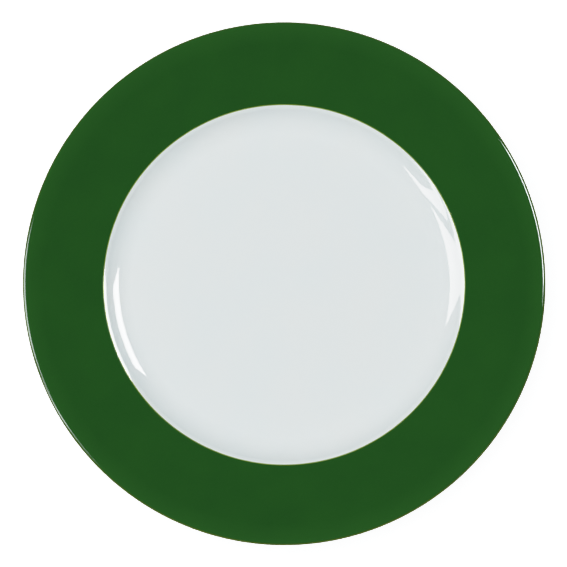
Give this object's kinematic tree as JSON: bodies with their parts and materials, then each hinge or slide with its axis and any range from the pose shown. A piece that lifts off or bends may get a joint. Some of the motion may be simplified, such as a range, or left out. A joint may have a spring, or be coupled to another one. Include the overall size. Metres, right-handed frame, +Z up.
{
  "type": "china dinner plate",
  "caption": "Round china dinner plate with a flat white well, a wide sloping green rim, fine contour lines and a low foot ring.",
  "frame": {"origin": "centre of the foot ring, in the plane of its contact face, which the plate rests on", "axes": "+Z up along the plate's axis of revolution, towards the eating side; +X and +Y lie in the resting plane and are free, because the plate is turned"},
  "size_m": [0.27, 0.27, 0.0241],
  "materials": {
    "bare_porcelain": "unglazed, fine-ground and matt, bare only on the foot ring's contact face",
    "white_glaze": "clear high-gloss glaze over cool white porcelain",
    "green_enamel": "deep green, smooth and glossy",
    "lime_line": "thin glossy yellow-green line",
    "olive_line": "thin glossy olive line",
    "stamp_ink": "printed dark green mark, satin"
  },
  "bodies": {
    "root": {"china_body": "bare_porcelain", "well_glaze": "white_glaze", "inner_hairline": "lime_line", "green_rim_band": "green_enamel", "lip_line": "olive_line", "underside_glaze": "white_glaze", "foot_recess_glaze": "white_glaze", "backstamp": "stamp_ink"}
  },
  "joints": []
}
